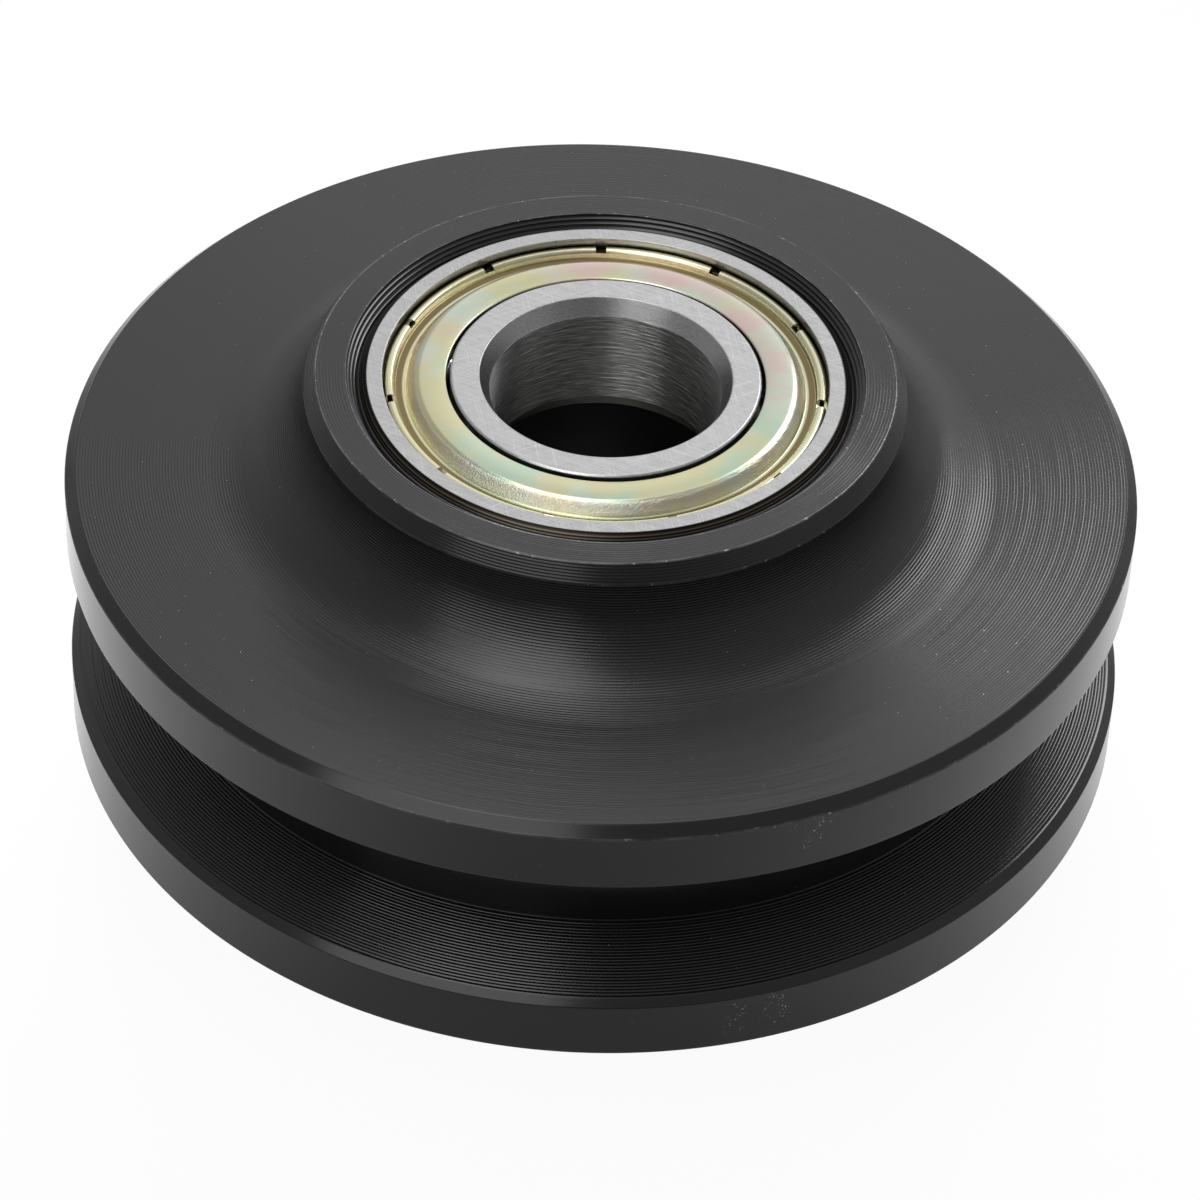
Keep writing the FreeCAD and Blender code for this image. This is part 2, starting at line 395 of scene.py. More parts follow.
class GeometryTree(NodeTree):
    """A geometry node tree under construction, from its input to a realized, finished mesh."""

    def __init__(self, name: str) -> None:
        """Starts a tree with a geometry input and output.

        Args:
            name: The tree's name.
        """
        super().__init__(bpy.data.node_groups.new(name, "GeometryNodeTree"))
        self.tree.interface.new_socket("Geometry", in_out="INPUT", socket_type="NodeSocketGeometry")
        self.tree.interface.new_socket("Geometry", in_out="OUTPUT", socket_type="NodeSocketGeometry")
        self.start = self.tree.nodes.new("NodeGroupInput")
        self.identifiers: dict[str, str] = {}

    def size(self, name: str, kind: str) -> Socket:
        """Adds a named input.

        Args:
            name: The input's name.
            kind: Its socket type.

        Returns:
            The socket that carries it inside the tree.
        """
        socket = self.tree.interface.new_socket(name, in_out="INPUT", socket_type=kind)
        self.identifiers[name] = socket.identifier
        return self.start.outputs[name]

    def random(self, low: float, high: float, number: Socket, seed: Socket) -> Socket:
        """A random value in a range for each whole number.

        Args:
            low: The least value.
            high: The greatest value.
            number: What the value belongs to.
            seed: The seed's socket.

        Returns:
            The value's socket.
        """
        node = self.add("FunctionNodeRandomValue", data_type="FLOAT")
        inputs = {socket.identifier: socket for socket in node.inputs}
        inputs["Min_001"].default_value = low
        inputs["Max_001"].default_value = high
        self.tree.links.new(number, inputs["ID"])
        self.tree.links.new(seed, inputs["Seed"])
        return next(socket for socket in node.outputs if socket.identifier == "Value_001")

    def end(self, geometry: Socket, material: Socket) -> None:
        """Realizes the geometry, gives it its material and closes the tree.

        Args:
            geometry: The finished geometry.
            material: The socket of the tree's material input.
        """
        realized = self.add("GeometryNodeRealizeInstances", {"Geometry": geometry})
        inputs = {"Geometry": realized.outputs[0], "Material": material}
        finished = self.add("GeometryNodeSetMaterial", inputs)
        self.add("NodeGroupOutput", {"Geometry": finished.outputs[0]})

    def run_on(self, piece: bpy.types.Object, sizes: dict[str, Value]) -> None:
        """Runs the tree on a piece and leaves the result as the piece's plain mesh.

        Args:
            piece: The object whose mesh goes in.
            sizes: A value for each named input.
        """
        modifier = piece.modifiers.new(self.tree.name, "NODES")
        modifier.node_group = self.tree
        for name, value in sizes.items():
            modifier[self.identifiers[name]] = value
        graph = bpy.context.evaluated_depsgraph_get()
        made = bpy.data.meshes.new_from_object(
            piece.evaluated_get(graph), preserve_all_data_layers=True, depsgraph=graph
        )
        piece.modifiers.remove(modifier)
        piece.data = made


@dataclass(frozen=True)
class Noise:
    """A pattern of soft noise.

    Attributes:
        scale: Features per unit of place.
        detail: Octaves of finer noise.
        roughness: Strength of the finer noise.
        limits: The values of the noise that give the two results, if it is mapped.
        results: What the limits give.
        stretch: The scale of the place along X, Y and Z, if it is stretched.
        turn: The turn of the place about the axis in degrees, made before the stretch.
    """

    scale: float = 1.0
    detail: float = 2.0
    roughness: float = 0.5
    limits: tuple[float, float] | None = None
    results: tuple[float, float] = (0.0, 1.0)
    stretch: tuple[float, float, float] | None = None
    turn: float = 0.0


class Shader(NodeTree):
    """A procedural material under construction, with helpers for its nodes."""

    def __init__(self, name: str, **constants: Value) -> None:
        """Starts a material with the main shader's plain values.

        Args:
            name: The material's name.
            constants: Values for the main shader's sockets, with _ for each space in a name.
        """
        self.material = bpy.data.materials.new(name)
        self.material.use_nodes = True
        super().__init__(self.material.node_tree)
        self.surface = self.tree.nodes["Principled BSDF"]
        for socket, value in constants.items():
            self.surface.inputs[socket.replace("_", " ")].default_value = value

    def drive(self, socket: str, value: Socket) -> None:
        """Links a result to one of the main shader's sockets."""
        self.tree.links.new(value, self.surface.inputs[socket])

    def place(self) -> Socket:
        """The point's place in the roller's frame, in millimetres."""
        here = self.add("ShaderNodeTexCoord").outputs["Object"]
        return self.scaled(here, 1 / MM)

    def attribute(self, name: str) -> Socket:
        """A number that the mesh carries at each vertex."""
        return self.add("ShaderNodeAttribute", attribute_name=name).outputs["Fac"]

    def stretched(self, place: Socket, scale: Sequence[float], turn: float = 0.0) -> Socket:
        """A place turned about the axis, then scaled along each direction.

        Args:
            place: The place to map.
            scale: The scale along X, Y and Z.
            turn: The turn about Z in degrees, made first.

        Returns:
            The mapped place.
        """
        turned = self.add("ShaderNodeVectorRotate", {"Vector": place, "Angle": math.radians(turn)})
        inputs = {0: turned.outputs[0], 1: tuple(scale)}
        return self.add("ShaderNodeVectorMath", inputs, operation="MULTIPLY").outputs[0]

    def round_axis(self, place: Socket) -> tuple[Socket, Socket]:
        """A place's share of a turn about the axis, from -0.5 to 0.5, and its height."""
        x, y, z = self.add("ShaderNodeSeparateXYZ", {0: place}).outputs
        return self.math("DIVIDE", self.math("ARCTAN2", y, x), FULL_TURN), z

    def laid_flat(self, path: Socket, turn: Socket, radius: float) -> Socket:
        """A turned surface laid flat, in millimetres along its section and round the axis.

        Args:
            path: The point's place along the section.
            turn: The point's share of a turn about the axis.
            radius: The radius at which the way round is measured.

        Returns:
            The flat place.
        """
        return self.vector(path, self.math("MULTIPLY", turn, FULL_TURN * radius))

    def spread(self, noise: Socket, middle: Value, width: float) -> Socket:
        """A value that noise spreads over a width round its middle."""
        return self.math("MULTIPLY_ADD", noise, width, self.math("SUBTRACT", middle, width / 2))

    def along(self, place: Socket, direction: Sequence[float]) -> Socket:
        """How far a place lies along a direction, times the direction's length."""
        inputs = {0: place, 1: tuple(direction)}
        return self.add("ShaderNodeVectorMath", inputs, operation="DOT_PRODUCT").outputs["Value"]

    def radius(self, place: Socket) -> Socket:
        """A place's distance from the axis."""
        flat = self.stretched(place, (1.0, 1.0, 0.0))
        return self.add("ShaderNodeVectorMath", {0: flat}, operation="LENGTH").outputs["Value"]

    def within(self, value: Socket, low: float, high: float, soft: float) -> Socket:
        """1 where a value lies between two limits, and 0 outside them.

        Args:
            value: The number.
            low: The lower limit.
            high: The upper limit.
            soft: How far each change reaches, inside the limits.

        Returns:
            The share.
        """
        entered = self.between(value, low, low + soft)
        left = self.between(value, high - soft, high, 1.0, 0.0)
        return self.math("MULTIPLY", entered, left)

    def round_tangent(self, place: Socket) -> Socket:
        """The direction round the axis at a place.

        Args:
            place: The place in the roller's frame.

        Returns:
            The direction in the world, at length one.
        """
        x, y, _ = self.add("ShaderNodeSeparateXYZ", {0: place}).outputs
        around = self.vector(self.math("MULTIPLY", y, -1.0), x)
        settings = {"vector_type": "VECTOR", "convert_from": "OBJECT", "convert_to": "WORLD"}
        turned = self.add("ShaderNodeVectorTransform", {0: around}, **settings)
        return self.add("ShaderNodeVectorMath", {0: turned.outputs[0]}, operation="NORMALIZE").outputs[0]

    def noise(self, place: Socket, pattern: Noise) -> Socket:
        """A pattern of noise at a place.

        Args:
            place: Where to read it.
            pattern: The pattern.

        Returns:
            The noise from 0 to 1, or what the pattern's limits make of it.
        """
        if pattern.stretch:
            place = self.stretched(place, pattern.stretch, pattern.turn)
        inputs = {"Vector": place, "Scale": pattern.scale}
        inputs |= {"Detail": pattern.detail, "Roughness": pattern.roughness}
        noise = self.add("ShaderNodeTexNoise", inputs).outputs[0]
        if pattern.limits is None:
            return noise
        return self.between(noise, *pattern.limits, *pattern.results)

    def mixed(self, share: Value, first: Value, second: Value) -> Socket:
        """A colour between two colours.

        Args:
            share: 0 for the first colour, 1 for the second.
            first: A colour or its socket.
            second: A colour or its socket.

        Returns:
            The colour.
        """
        node = self.add("ShaderNodeMix", data_type="RGBA")
        sockets = {socket.identifier: socket for socket in node.inputs}
        for name, value in (("Factor_Float", share), ("A_Color", first), ("B_Color", second)):
            if isinstance(value, Socket):
                self.tree.links.new(value, sockets[name])
            elif name == "Factor_Float":
                sockets[name].default_value = value
            else:
                sockets[name].default_value = (*value, 1.0)
        return next(socket for socket in node.outputs if socket.identifier == "Result_Color")

    def bump(self, height: Socket, depth: float, under: Socket | None = None) -> Socket:
        """A normal tilted by a height.

        Args:
            height: The height, in units of depth.
            depth: What a height of one stands for, in millimetres.
            under: The normal that it tilts, if it isn't the mesh's own.

        Returns:
            The tilted normal.
        """
        inputs = {"Height": height, "Distance": depth * MM, "Strength": 1.0}
        if under is not None:
            inputs["Normal"] = under
        return self.add("ShaderNodeBump", inputs).outputs[0]


def dimmed(colour: Colour, share: float) -> Colour:
    """A colour at a share of its brightness."""
    return tuple(share * part for part in colour)


@dataclass(frozen=True)
class Scuff:
    """A patch of pale specks on a rim.

    Attributes:
        turn: The bearing of its middle round the axle in degrees.
        height: The height of its middle.
        width: Half its width along the rim.
        rise: Half its height.
    """

    turn: float
    height: float
    width: float
    rise: float


@dataclass(frozen=True)
class TurnedNylon:
    """Black nylon as it leaves the lathe: satin, with fine turning lines, crumbs and scuffs."""

    colour: Colour = (0.0058, 0.0058, 0.006)
    refraction: float = 1.53
    rim_radius: float = 35.0
    rim_roughness: float = 0.18
    worked_roughness: float = 0.22
    roughness_spread: float = 0.06
    grain: Noise = Noise(6.0, 3.0, 0.6)
    grain_depth: float = 0.0012
    line_pitch: float = 0.2
    line_depth: float = 0.015
    chatter_per_turn: float = 20.0
    chatter: Noise = Noise(0.8, 1.0, limits=NOISE_RANGE, results=(0.7, 1.0))
    crumb_colour: Colour = (0.2, 0.2, 0.2)
    crumb_radius: float = 26.25
    crumb_spacing: float = 1.1
    crumb_size: float = 0.037
    crumb_softness: float = 0.02
    crumb_luck: float = 0.45
    crumb_paleness: tuple[float, float, float, float] = (0.2, 1.0, 0.1, 1.0)
    fleck_radius: float = 17.5
    fleck: Noise = Noise(2.2, 3.0, 0.65, (0.6, 0.68))
    fray: Noise = Noise(0.5, 4.0, 0.7, (0.4, 0.6), (0.06, 0.22))
    scuff_colour: Colour = (0.3, 0.3, 0.31)
    scuff_specks: Noise = Noise(6.0, 2.0, 0.6, (0.6, 0.68))
    scuff_clusters: Noise = Noise(1.1, 1.0, limits=(0.42, 0.6))
    scuff_core: tuple[float, float] = (0.3, 0.5)
    scuffs: tuple[Scuff, ...] = (
        Scuff(293.5, 8.0, 2.0, 1.6),
        Scuff(286.5, -7.0, 1.0, 2.0),
        Scuff(291.0, -6.8, 1.4, 1.8),
    )

    def scuffed(self, shader: Shader, turn: Socket, height: Socket) -> Socket:
        """How far a point lies in any of the scuffs, from 0 to 1.

        Args:
            shader: The material under construction.
            turn: The point's share of a turn about the axle, from -0.5 to 0.5.
            height: The point's height.

        Returns:
            The share.
        """
        core_width, core_rise = self.scuff_core
        total: Value = 0.0
        for scuff in self.scuffs:
            middle = (scuff.turn / 360 + 0.5) % 1 - 0.5
            reach = scuff.width / (FULL_TURN * self.rim_radius)
            beside = shader.math("ABSOLUTE", shader.math("SUBTRACT", turn, middle))
            above = shader.math("ABSOLUTE", shader.math("SUBTRACT", height, scuff.height))
            across = shader.between(beside, core_width * reach, reach, 1.0, 0.0)
            along = shader.between(above, core_rise * scuff.rise, scuff.rise, 1.0, 0.0)
            total = shader.math("MAXIMUM", total, shader.math("MULTIPLY", across, along))
        return total

    def turning_lines(self, shader: Shader, path: Socket, turn: Socket) -> Socket:
        """The height of the fine spiral that the facing tool leaves.

        Args:
            shader: The material under construction.
            path: The point's place along the section.
            turn: The point's share of a turn about the axle.

        Returns:
            The height, from 0 in the hollows to 1 on the crests.
        """
        feed = shader.math("ADD", shader.math("DIVIDE", path, self.line_pitch), turn)
        wave = shader.math("ABSOLUTE", shader.math("SINE", shader.math("MULTIPLY", feed, math.pi)))
        crest = shader.math("SUBTRACT", 1.0, wave)
        place = shader.vector(feed, shader.math("MULTIPLY", turn, self.chatter_per_turn))
        return shader.math("MULTIPLY", crest, shader.noise(place, self.chatter))

    def crumbs(self, shader: Shader, path: Socket, turn: Socket) -> Socket:
        """The pale crumbs that cling to the surface, from 0 to 1.

        Args:
            shader: The material under construction.
            path: The point's place along the section.
            turn: The point's share of a turn about the axle.

        Returns:
            1 in a crumb.
        """
        place = shader.laid_flat(path, turn, self.crumb_radius)
        inputs = {"Vector": place, "Scale": 1 / self.crumb_spacing}
        cells = shader.add("ShaderNodeTexVoronoi", inputs, voronoi_dimensions="2D")
        near = shader.math("MULTIPLY", cells.outputs["Distance"], self.crumb_spacing)
        luck, paleness, _ = shader.add("ShaderNodeSeparateColor", {0: cells.outputs["Color"]}).outputs
        size = shader.between(luck, self.crumb_luck, 1.0, 0.0, self.crumb_size)
        crumb = shader.between(shader.math("SUBTRACT", near, size), -self.crumb_softness, 0.0, 1.0, 0.0)
        return shader.math("MULTIPLY", crumb, shader.between(paleness, *self.crumb_paleness))

    def flecks(self, shader: Shader, path: Socket, turn: Socket) -> Socket:
        """The pale flecks and the frayed line of burr along the edges, from 0 to 1.

        Args:
            shader: The material under construction.
            path: The point's place along the section.
            turn: The point's share of a turn about the axle.

        Returns:
            1 in a fleck.
        """
        place = shader.laid_flat(path, turn, self.fleck_radius)
        frayed = shader.math("MAXIMUM", shader.noise(place, self.fleck), shader.noise(place, self.fray))
        return shader.math("MULTIPLY", frayed, shader.attribute(BURR))

    def material(self) -> bpy.types.Material:
        """Builds the material.

        Returns:
            The material, ready for a mesh.
        """
        shader = Shader("turned_black_nylon", IOR=self.refraction, Specular_IOR_Level=0.5)
        place = shader.place()
        turn, height = shader.round_axis(place)
        path = shader.attribute(PATH)
        worked = shader.attribute(WORKED)
        grain = shader.noise(place, self.grain)
        specks = shader.noise(place, self.scuff_specks)
        specks = shader.math("MULTIPLY", specks, shader.noise(place, self.scuff_clusters))
        scuff = shader.math("MULTIPLY", self.scuffed(shader, turn, height), specks)
        worn = shader.math("MAXIMUM", scuff, self.flecks(shader, path, turn))
        colour = shader.mixed(worn, self.colour, self.scuff_colour)
        colour = shader.mixed(self.crumbs(shader, path, turn), colour, self.crumb_colour)
        shader.drive("Base Color", colour)
        rough = shader.between(worked, 0.0, 1.0, self.rim_roughness, self.worked_roughness)
        shader.drive("Roughness", shader.spread(grain, rough, self.roughness_spread))
        cut = shader.math("MULTIPLY", self.turning_lines(shader, path, turn), worked)
        shader.drive("Normal", shader.bump(cut, self.line_depth, shader.bump(grain, self.grain_depth)))
        return shader.material


@dataclass(frozen=True)
class GroundSteel:
    """Bearing steel: ground faces with crossing scratches, and darker hardened skin elsewhere."""

    ground: Colour = (0.5, 0.5, 0.505)
    skin: Colour = (0.012, 0.01, 0.008)
    skin_lines: Colour = (0.15, 0.13, 0.1)
    skin_rings: Noise = Noise(5.0, 3.0, 0.7, (0.46, 0.66))
    scratch: Noise = Noise(limits=(0.52, 0.74), stretch=(0.22, 14.0, 14.0))
    scratch_turns: tuple[float, ...] = (24.0, -31.0, 78.0)
    scratch_brightness: float = 0.32
    lay: Noise = Noise(1.0, 4.0, 0.65, stretch=(0.5, 6.0, 6.0), turn=24.0)
    lay_brightness: tuple[float, float] = (0.84, 0.98)
    mark_depth: float = 0.0025
    roughness: float = 0.3
    roughness_spread: float = 0.16

    def material(self) -> bpy.types.Material:
        """Builds the material.

        Returns:
            The material, ready for a mesh.
        """
        shader = Shader("ground_bearing_steel", Metallic=1.0)
        place = shader.place()
        hair: Value = 0.0
        for turn in self.scratch_turns:
            hair = shader.math("MAXIMUM", hair, shader.noise(place, replace(self.scratch, turn=turn)))
        lay = shader.noise(place, self.lay)
        bright = shader.between(lay, *NOISE_RANGE, *self.lay_brightness)
        bright = shader.math("MULTIPLY_ADD", hair, self.scratch_brightness, bright)
        rings = shader.noise(shader.vector(shader.attribute(PATH)), self.skin_rings)
        skin = shader.mixed(rings, self.skin, self.skin_lines)
        ground = shader.scaled(self.ground, bright)
        shader.drive("Base Color", shader.mixed(shader.attribute(WORKED), skin, ground))
        shader.drive("Roughness", shader.spread(lay, self.roughness, self.roughness_spread))
        shader.drive("Normal", shader.bump(hair, self.mark_depth, shader.bump(lay, self.mark_depth)))
        return shader.material


@dataclass(frozen=True)
class HonedSteel:
    """The bore's bearing steel, with honing lines round the axis that spread its shine along it.

    The stretch of its patterns counts features per turn and per millimetre of height.
    """

    colour: Colour = (0.52, 0.515, 0.51)
    short_lines: Noise = Noise(1.0, 3.0, 0.6, stretch=(34.0, 1.0, 8.0))
    short_brightness: tuple[float, float] = (0.65, 1.3)
    long_lines: Noise = Noise(1.0, 2.0, 0.6, stretch=(22.0, 1.0, 6.0))
    long_depth: float = 0.1
    roughness: float = 0.3
    roughness_spread: float = 0.06

    def material(self) -> bpy.types.Material:
        """Builds the material.

        Returns:
            The material, ready for a mesh.
        """
        shader = Shader("honed_bore_steel", Metallic=1.0, Anisotropic=1.0, Anisotropic_Rotation=0.25)
        place = shader.place()
        turn, height = shader.round_axis(place)
        wall = shader.vector(turn, 0.0, height)
        short = shader.noise(wall, self.short_lines)
        bright = shader.between(short, *NOISE_RANGE, *self.short_brightness)
        shader.drive("Base Color", shader.scaled(self.colour, bright))
        shader.drive("Roughness", shader.spread(short, self.roughness, self.roughness_spread))
        shader.drive("Tangent", shader.round_tangent(place))
        shader.drive("Normal", shader.bump(shader.noise(wall, self.long_lines), self.long_depth))
        return shader.material


@dataclass(frozen=True)
class YellowZinc:
    """Zinc-plated sheet with a yellow passivate that drifts to rose and mint, with shade painted dark brown
    into the bottom of its channel.
    """

    yellow: Colour = (0.55, 0.53, 0.33)
    rose: Colour = (0.6, 0.47, 0.43)
    mint: Colour = (0.44, 0.55, 0.43)
    pale: Colour = (0.53, 0.57, 0.48)
    deep: Colour = (0.68, 0.65, 0.42)
    # The dark brown of the channel's bottom is painted shade, where its crease lies in shadow.
    painted_crease_shade: Colour = (0.19, 0.145, 0.065)
    drift: Noise = Noise(0.22)
    patches: Noise = Noise(0.24, stretch=(1.0, 0.7, 1.0), turn=70.0)
    paler_along: tuple[float, float, float] = (0.008, 0.01, 0.0)
    rosier_along: tuple[float, float, float] = (0.0, 0.006, 0.0)
    pale_limits: tuple[float, float] = (0.4, 0.65)
    rose_limits: tuple[float, float] = (0.5, 0.7)
    mint_limits: tuple[float, float] = (0.48, 0.3)
    slope: tuple[float, float] = (12.2, 12.95)
    slope_softness: float = 0.2
    slope_rose: float = 0.4
    # Radii of the channel's bottom that gets the painted shade, and how softly it fades in.
    channel: tuple[float, float] = (13.05, 13.64)
    painted_shade_softness: float = 0.15
    bead_from: float = 13.7
    bead_gold: float = 0.8
    brushing: Noise = Noise(1.0, 3.0, 0.6, stretch=(0.6, 11.0, 11.0), turn=-40.0)
    brush_depth: float = 0.0006
    hatch_depth: float = 0.045
    roughness: tuple[float, float] = (0.17, 0.26)

    def material(self) -> bpy.types.Material:
        """Builds the material.

        Returns:
            The material, ready for a mesh.
        """
        shader = Shader("yellow_passivated_zinc", Metallic=1.0)
        place = shader.place()
        drift = shader.noise(place, self.drift)
        patch = shader.noise(place, self.patches)
        paleness = shader.math("ADD", drift, shader.along(place, self.paler_along))
        patch = shader.math("ADD", patch, shader.along(place, self.rosier_along))
        colour = shader.mixed(shader.between(paleness, *self.pale_limits), self.yellow, self.pale)
        colour = shader.mixed(shader.between(patch, *self.rose_limits), colour, self.rose)
        colour = shader.mixed(shader.between(patch, *self.mint_limits), colour, self.mint)
        radius = shader.radius(place)
        sloping = shader.within(radius, *self.slope, self.slope_softness)
        colour = shader.mixed(shader.math("MULTIPLY", sloping, self.slope_rose), colour, self.rose)
        golden = shader.between(radius, self.slope[0], self.bead_from, 0.0, self.bead_gold)
        colour = shader.mixed(golden, colour, self.deep)
        # Painted shade: the channel's bottom is darkened to brown between these radii.
        sunk = shader.within(radius, *self.channel, self.painted_shade_softness)
        shader.drive("Base Color", shader.mixed(sunk, colour, self.painted_crease_shade))
        brushed = shader.noise(place, self.brushing)
        shader.drive("Roughness", shader.between(brushed, *NOISE_RANGE, *self.roughness))
        hatched = shader.math("MULTIPLY", brushed, sloping)
        brushed_normal = shader.bump(brushed, self.brush_depth)
        shader.drive("Normal", shader.bump(hatched, self.hatch_depth, brushed_normal))
        return shader.material


@dataclass(frozen=True)
class PolishedBall:
    """Lapped ball steel, close to a mirror."""

    colour: Colour = (0.72, 0.72, 0.73)
    hazy_share: float = 0.92
    haze: Noise = Noise(1.5, 3.0, 0.6)
    roughness: tuple[float, float] = (0.04, 0.09)

    def material(self) -> bpy.types.Material:
        """Builds the material.

        Returns:
            The material, ready for a mesh.
        """
        shader = Shader("lapped_ball_steel", Metallic=1.0)
        haze = shader.noise(shader.place(), self.haze)
        shader.drive("Base Color", shader.mixed(haze, self.colour, dimmed(self.colour, self.hazy_share)))
        shader.drive("Roughness", shader.between(haze, *NOISE_RANGE, *self.roughness))
        return shader.material


@dataclass(frozen=True)
class PressedSteel:
    """Cold-rolled strip, pressed into cage halves and rivets."""

    colour: Colour = (0.5, 0.49, 0.47)
    dark_share: float = 0.75
    draw_lines: Noise = Noise(1.0, 3.0, 0.6, stretch=(2.0, 2.0, 9.0))
    draw_depth: float = 0.004
    roughness: tuple[float, float] = (0.28, 0.45)

    def material(self) -> bpy.types.Material:
        """Builds the material.

        Returns:
            The material, ready for a mesh.
        """
        shader = Shader("pressed_cage_steel", Metallic=1.0)
        drawn = shader.noise(shader.place(), self.draw_lines)
        shader.drive("Base Color", shader.mixed(drawn, self.colour, dimmed(self.colour, self.dark_share)))
        shader.drive("Roughness", shader.between(drawn, *NOISE_RANGE, *self.roughness))
        shader.drive("Normal", shader.bump(drawn, self.draw_depth))
        return shader.material


def new_piece(name: str, mesh: bpy.types.Mesh) -> bpy.types.Object:
    """Links a mesh to the scene as an object at the origin.

    Args:
        name: The object's name.
        mesh: Its mesh.

    Returns:
        The object.
    """
    piece = bpy.data.objects.new(name, mesh)
    bpy.context.scene.collection.objects.link(piece)
    return piece


def settle(piece: bpy.types.Object, body: str, slot: Slot, *nodes: str) -> None:
    """Puts a finished piece on its body, in place of the frame's nodes.

    Args:
        piece: The finished piece.
        body: The body that carries it.
        slot: The record's material slot; not used.
        nodes: The nodes that it stands for.
    """
    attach(piece, body)
    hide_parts(*nodes)
    log.info("%s: %d faces on %s", piece.name, len(piece.data.polygons), body)


def dress_node(node: str, material: bpy.types.Material) -> None:
    """Gives one of the frame's own nodes its material.

    Args:
        node: The node's name.
        material: Its finish.
    """
    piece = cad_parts[node]
    piece.data.materials.clear()
    piece.data.materials.append(material)
    log.info("%s: dressed in %s", node, material.name)


@dataclass
class Wheel:
    """The turned wheel: two flanges, a rail groove and a hub with a bearing pocket at each end."""

    radius: float = 35.0
    flange_width: float = 20.0
    rim_chamfer: float = 0.7
    groove_depth: float = 5.5
    groove_floor_width: float = 6.0
    groove_flank_angle: float = 20.0
    groove_lip_chamfer: float = 0.5
    hub_radius: float = 19.5
    hub_width: float = 34.6
    hub_chamfer: tuple[float, float] = (0.75, 1.15)
    hub_fillet: float = 6.0
    fillet_end_angle: float = 3.0
    pocket_radius: float = 16.0
    pocket_floor: float = 8.0
    pocket_lead_in: tuple[float, float] = (0.75, 1.1)
    web_bore_radius: float = 13.6
    flank_ridges: Ridges = Ridges(25)
    lead_in_ridges: Ridges = Ridges(4, 1.8, 5)
    ridge_depth: float = 0.05
    ridge_spread: tuple[float, float] = (0.75, 1.15)
    ridge_seed: int = 7
    segments: int = 256
    finish: TurnedNylon = field(default_factory=TurnedNylon)

    def corners(self) -> list[Corner]:
        """Lays out the upper half of the wheel's section.

        Returns:
            The corners, from the groove's floor to the web's bore.
        """
        floor_radius = self.radius - self.groove_depth
        floor_height = self.groove_floor_width / 2
        lip_radius = self.radius - self.groove_lip_chamfer
        slope = math.tan(math.radians(self.groove_flank_angle))
        lip_height = floor_height + (lip_radius - floor_radius) * slope
        flange = self.flange_width / 2
        hub = self.hub_width / 2
        chamfer_in, chamfer_down = self.hub_chamfer
        lead_out, lead_down = self.pocket_lead_in
        fillet_rise = self.hub_fillet * math.tan(math.radians(self.fillet_end_angle))
        return [
            Corner(floor_radius, floor_height, 0.06, ridges=self.flank_ridges),
            Corner(lip_radius, lip_height, 0.3),
            Corner(self.radius, lip_height + self.groove_lip_chamfer, 0.12),
            Corner(self.radius, flange - self.rim_chamfer, 0.12, burr=0.7),
            Corner(self.radius - self.rim_chamfer, flange, 0.12, worked=1.0),
            Corner(self.hub_radius + self.hub_fillet, flange, 0.5, worked=1.2),
            Corner(self.hub_radius, flange + fillet_rise, self.hub_fillet, worked=1.2),
            Corner(self.hub_radius, hub - chamfer_down, 0.08, worked=0.7, burr=0.4),
            Corner(self.hub_radius - chamfer_in, hub, 0.06, worked=1.0, burr=1.0),
            Corner(self.pocket_radius + lead_out, hub, 0.04, ridges=self.lead_in_ridges, burr=1.0),
            Corner(self.pocket_radius, hub - lead_down, 0.04),
            Corner(self.pocket_radius, self.pocket_floor, 0.1),
            Corner(self.web_bore_radius, self.pocket_floor, 0.15),
        ]

    def ridge_tree(self) -> GeometryTree:
        """Makes the tree that sinks the hollow of each tool ridge into the turned mesh.

        Returns:
            The tree, with inputs for the ridges' depth, the seed and the material.
        """
        tree = GeometryTree("tool_ridges")
        depth = tree.size("Ridge depth", "NodeSocketFloat")
        seed = tree.size("Seed", "NodeSocketInt")
        material = tree.size("Material", "NodeSocketMaterial")
        phase = tree.add("GeometryNodeInputNamedAttribute", {"Name": RIDGE_PHASE}).outputs[0]
        share = tree.add("GeometryNodeInputNamedAttribute", {"Name": RIDGE_SHARE}).outputs[0]
        across = tree.math("MULTIPLY_ADD", tree.math("FRACT", phase), 2.0, -1.0)
        hollow = tree.math("SUBTRACT", 1.0, tree.math("MULTIPLY", across, across))
        uneven = tree.random(*self.ridge_spread, tree.math("FLOOR", phase), seed)
        sunk = tree.math("MULTIPLY", tree.math("MULTIPLY", hollow, share), uneven)
        sunk = tree.math("MULTIPLY", sunk, tree.math("MULTIPLY", depth, -1.0))
        outward = tree.add("GeometryNodeInputNormal").outputs[0]
        inputs = {"Geometry": tree.start.outputs[0], "Offset": tree.scaled(outward, sunk)}
        tree.end(tree.add("GeometryNodeSetPosition", inputs).outputs[0], material)
        return tree

    def build(self) -> bpy.types.Object:
        """Builds the wheel, cuts its ridges and puts it on its body.

        Returns:
            The finished piece.
        """
        rows = section_rows(with_mirror(self.corners()))
        piece = new_piece("turned_wheel", turned_mesh("turned_wheel", rows, self.segments))
        sizes = {"Ridge depth": self.ridge_depth * MM, "Seed": self.ridge_seed}
        sizes["Material"] = self.finish.material()
        self.ridge_tree().run_on(piece, sizes)
        settle(piece, "wheel", Slot.NYLON, "wheel_body")
        return piece


